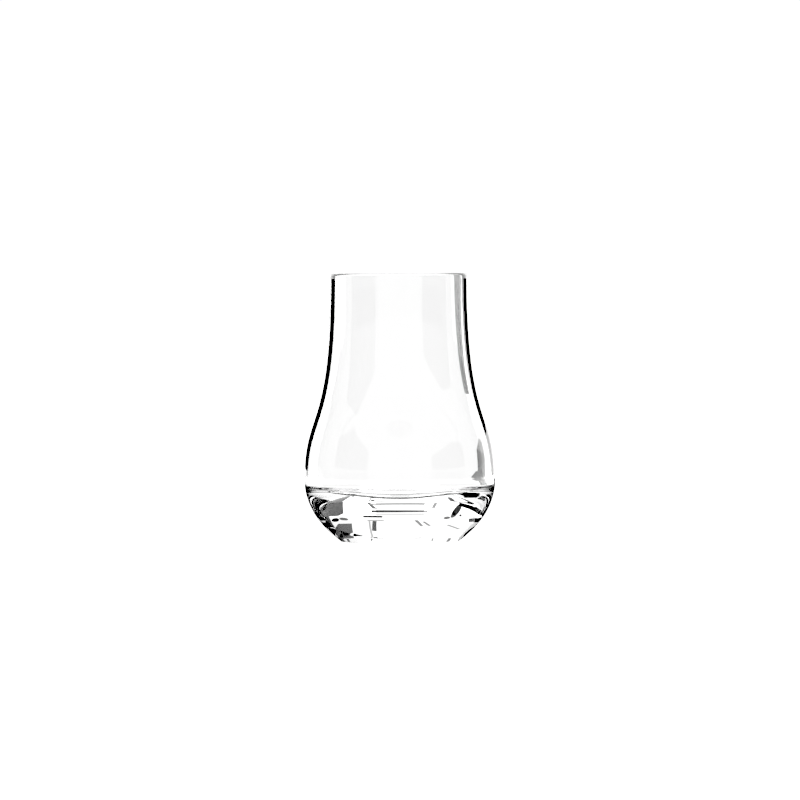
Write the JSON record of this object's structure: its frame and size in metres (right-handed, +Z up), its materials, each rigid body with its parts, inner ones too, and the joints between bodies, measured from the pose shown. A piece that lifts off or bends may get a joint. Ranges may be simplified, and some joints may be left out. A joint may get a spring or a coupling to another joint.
{
  "type": "rum tumbler",
  "caption": "Clear spirit tumbler with a round belly, a drawn-in straight neck, a thin rounded lip and a heavy solid base that it stands on.",
  "frame": {"origin": "middle of the foot, on the surface that the glass stands on", "axes": "+Z up along the axis of the glass; it is round, so X and Y are any two directions along the table"},
  "size_m": [0.071, 0.071, 0.1],
  "materials": {
    "bowl_glass": "clear colourless soda-lime glass, fire polished",
    "base_glass": "clear colourless soda-lime glass, fire polished"
  },
  "bodies": {
    "root": {"bowl": "bowl_glass", "base": "base_glass"}
  },
  "joints": []
}
